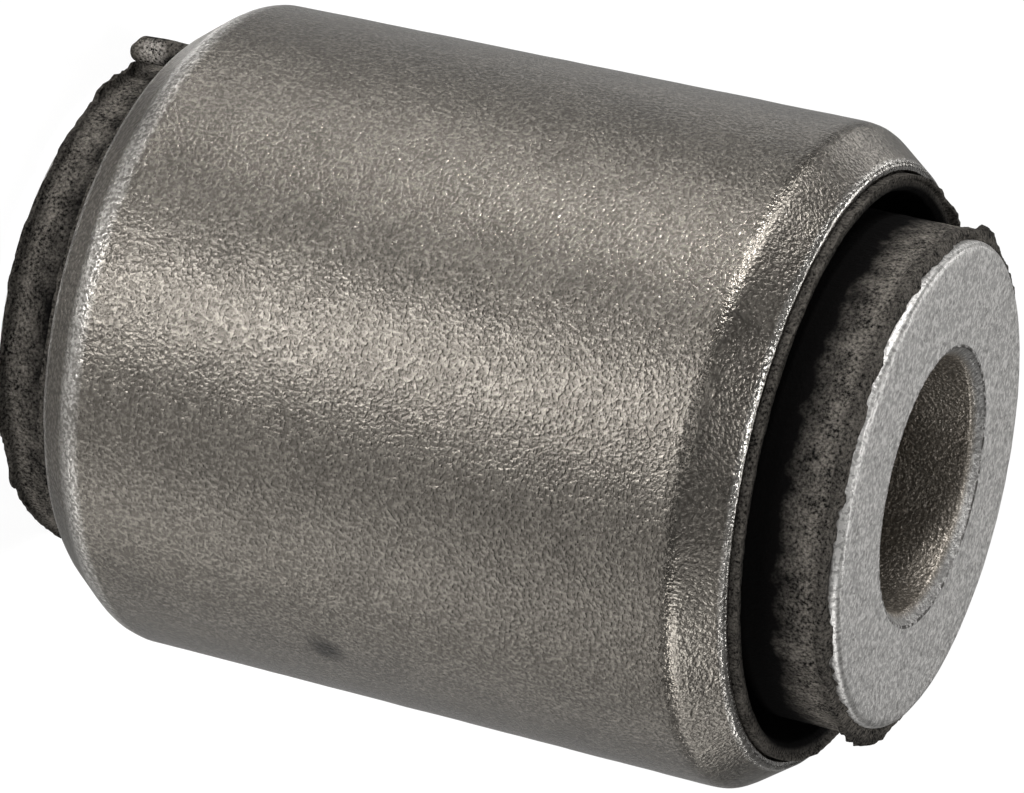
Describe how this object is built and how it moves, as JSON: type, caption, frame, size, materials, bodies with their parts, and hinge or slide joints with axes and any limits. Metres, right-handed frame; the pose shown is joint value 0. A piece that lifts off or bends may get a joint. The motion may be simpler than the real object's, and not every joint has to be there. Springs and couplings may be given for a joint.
{
  "type": "rubber metal bush",
  "caption": "Bonded rubber bush: chamfered steel outer sleeve, thick steel inner sleeve with a bolt bore, and moulded rubber between them with end grooves.",
  "frame": {"origin": "middle of the lower end face of the inner sleeve, on the bore's axis", "axes": "+Z along the bore, from the end that the bush stands on towards the end that the picture shows; +X and +Y across it"},
  "size_m": [0.032, 0.032, 0.0435],
  "materials": {
    "outer_steel": "shot-blasted steel with a warm grey conversion coat, fine pebbled grain",
    "inner_steel": "matt light grey blasted steel, rougher and darker in the bore",
    "rubber": "black moulded rubber, dusty and torn at the flash"
  },
  "bodies": {
    "root": {"outer_sleeve": "outer_steel", "inner_sleeve": "inner_steel", "rubber_body": "rubber"}
  },
  "joints": []
}
